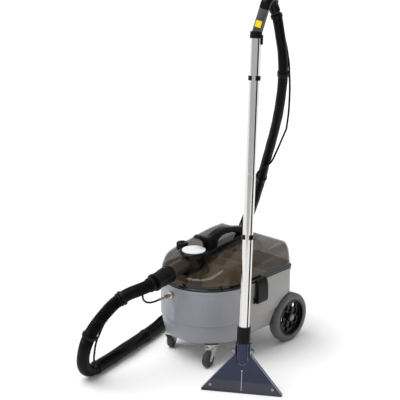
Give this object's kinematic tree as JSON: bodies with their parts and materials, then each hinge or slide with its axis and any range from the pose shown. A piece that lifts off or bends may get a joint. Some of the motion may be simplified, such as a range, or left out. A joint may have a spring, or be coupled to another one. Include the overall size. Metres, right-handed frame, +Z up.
{
  "type": "carpet cleaner",
  "caption": "Spray extraction carpet cleaner: wheeled grey tank with smoked lid, suction hose and a tubular steel wand standing on a clear floor nozzle.",
  "frame": {"origin": "a point on the floor under the centre of the tank's round front, on the machine's centre plane", "axes": "+Z up, -Y out of the machine's front, +X towards the side where the wand stands"},
  "size_m": [0.7421, 0.9467, 1.3149],
  "materials": {
    "tank_grey": "satin",
    "seal_black": "matt",
    "bucket_tan": "satin",
    "housing_grey": "satin",
    "motor_steel": "brushed",
    "armature_copper": "bare",
    "white_plastic": "satin",
    "black_plastic": "satin",
    "hose_rubber": "satin",
    "nickel": "plated",
    "switch_red": "gloss",
    "switch_green": "gloss",
    "zinc_steel": "zinc plated",
    "tyre_grey": "satin",
    "hub_black": "gloss",
    "chrome": "polished",
    "castor_rubber": "satin",
    "smoked_clear": "clear, smoked brown",
    "smoked_dark": "gloss",
    "badge_white": "gloss",
    "float_orange": "satin",
    "blue_clear": "clear, navy tint",
    "line_grey": "satin",
    "grip_grey": "fine grain",
    "button_yellow": "satin"
  },
  "bodies": {
    "machine": {"solution_tank": "tank_grey", "tank_gasket": "seal_black", "motor_housing": "housing_grey", "vacuum_motor": "motor_steel", "fan_housing": "motor_steel", "solution_pump": "black_plastic", "pump_hose": "hose_rubber", "coupling_socket": "nickel", "rear_panel": "black_plastic", "cable_gland": "black_plastic", "axle": "zinc_steel", "castor_plates": "zinc_steel", "latch_brackets": "black_plastic", "hose_front": "hose_rubber", "hose_rear": "hose_rubber", "hose_joiner": "black_plastic", "coupling_plug": "nickel", "solution_line": "hose_rubber"},
    "lid": {"lid_shell": "smoked_clear", "intake_tower": "smoked_clear", "badge_disc": "badge_white", "lid_duct": "smoked_dark", "carry_handle": "black_plastic", "inlet_pipe": "smoked_clear", "inlet_cuff": "black_plastic", "valve_neck": "black_plastic", "float_cage": "white_plastic"},
    "bucket": {"recovery_bucket": "bucket_tan"},
    "float": {"float_ball": "float_orange"},
    "air_valve": {"bleed_knob": "black_plastic"},
    "rotor": {"armature": "armature_copper", "fan_impeller": "white_plastic"},
    "latch_left": {"latch_left": "black_plastic"},
    "latch_right": {"latch_right": "black_plastic"},
    "vacuum_rocker": {"vacuum_switch": "switch_red"},
    "pump_rocker": {"pump_switch": "switch_green"},
    "wheel_left": {"tyre_left": "tyre_grey", "hub_left": "hub_black", "hub_cap_left": "chrome"},
    "castor_left": {"castor_fork_left": "zinc_steel"},
    "castor_roller_left": {"castor_wheel_left": "castor_rubber"},
    "wheel_right": {"tyre_right": "tyre_grey", "hub_right": "hub_black", "hub_cap_right": "chrome"},
    "castor_right": {"castor_fork_right": "zinc_steel"},
    "castor_roller_right": {"castor_wheel_right": "castor_rubber"},
    "button": {"spray_button": "button_yellow"},
    "wand": {"nozzle_front": "blue_clear", "nozzle_back": "blue_clear", "nozzle_neck": "blue_clear", "nozzle_screws": "chrome", "spray_bar": "nickel", "neck_collar": "black_plastic", "lower_pipe": "chrome", "upper_pipe": "chrome", "pipe_clips": "black_plastic", "wand_tube": "line_grey", "valve_body": "black_plastic", "hand_grip": "grip_grey", "hand_elbow": "black_plastic"}
  },
  "joints": [
    {"name": "lid_lift", "type": "slide", "parent": "machine", "child": "lid", "axis": [0, 0, 1], "range_m": [0, 0.2]},
    {"name": "bucket_lift", "type": "slide", "parent": "machine", "child": "bucket", "axis": [0, 0, 1], "range_m": [0, 0.015]},
    {"name": "float_rise", "type": "slide", "parent": "lid", "child": "float", "axis": [0, 0, 1], "range_m": [0, 0.034]},
    {"name": "air_valve_turn", "type": "hinge", "parent": "lid", "child": "air_valve", "pos_m": [-0.094, -0.038, 0.375], "axis": [0, 0, 1], "range_deg": [0, 90]},
    {"name": "fan_spin", "type": "hinge", "parent": "machine", "child": "rotor", "pos_m": [-0.045, 0.206, 0.2], "axis": [0, 0, 1], "continuous": true},
    {"name": "latch_left_flip", "type": "hinge", "parent": "machine", "child": "latch_left", "pos_m": [-0.184, 0.068, 0.216], "axis": [0, -1, 0], "range_deg": [0, 100]},
    {"name": "latch_right_flip", "type": "hinge", "parent": "machine", "child": "latch_right", "pos_m": [0.184, 0.068, 0.216], "axis": [0, 1, 0], "range_deg": [0, 100]},
    {"name": "vacuum_rock", "type": "hinge", "parent": "machine", "child": "vacuum_rocker", "pos_m": [-0.048, 0.27, 0.236], "axis": [1, 0, 0], "range_deg": [-16, 0]},
    {"name": "pump_rock", "type": "hinge", "parent": "machine", "child": "pump_rocker", "pos_m": [-0.016, 0.27, 0.236], "axis": [1, 0, 0], "range_deg": [-16, 0]},
    {"name": "wheel_left_spin", "type": "hinge", "parent": "machine", "child": "wheel_left", "pos_m": [-0.163, 0.247, 0.09], "axis": [1, 0, 0], "continuous": true},
    {"name": "castor_left_swivel", "type": "hinge", "parent": "machine", "child": "castor_left", "pos_m": [-0.1, -0.1, 0.07], "axis": [0, 0, 1], "continuous": true},
    {"name": "castor_left_roll", "type": "hinge", "parent": "castor_left", "child": "castor_roller_left", "pos_m": [-0.10899, -0.07883, 0.029], "axis": [-0.9205, -0.3907, 0], "continuous": true},
    {"name": "wheel_right_spin", "type": "hinge", "parent": "machine", "child": "wheel_right", "pos_m": [0.163, 0.247, 0.09], "axis": [1, 0, 0], "continuous": true},
    {"name": "castor_right_swivel", "type": "hinge", "parent": "machine", "child": "castor_right", "pos_m": [0.1, -0.1, 0.07], "axis": [0, 0, 1], "continuous": true},
    {"name": "castor_right_roll", "type": "hinge", "parent": "castor_right", "child": "castor_roller_right", "pos_m": [0.10399, -0.12265, 0.029], "axis": [0.9848, 0.1736, 0], "continuous": true},
    {"name": "wand_lift", "type": "slide", "parent": "machine", "child": "wand", "axis": [0, 0, 1], "range_m": [0, 0.1]},
    {"name": "spray_press", "type": "slide", "parent": "wand", "child": "button", "axis": [-0.4924, 0.8529, -0.1736], "range_m": [0, 0.004], "stiffness_N_per_m": 500}
  ]
}
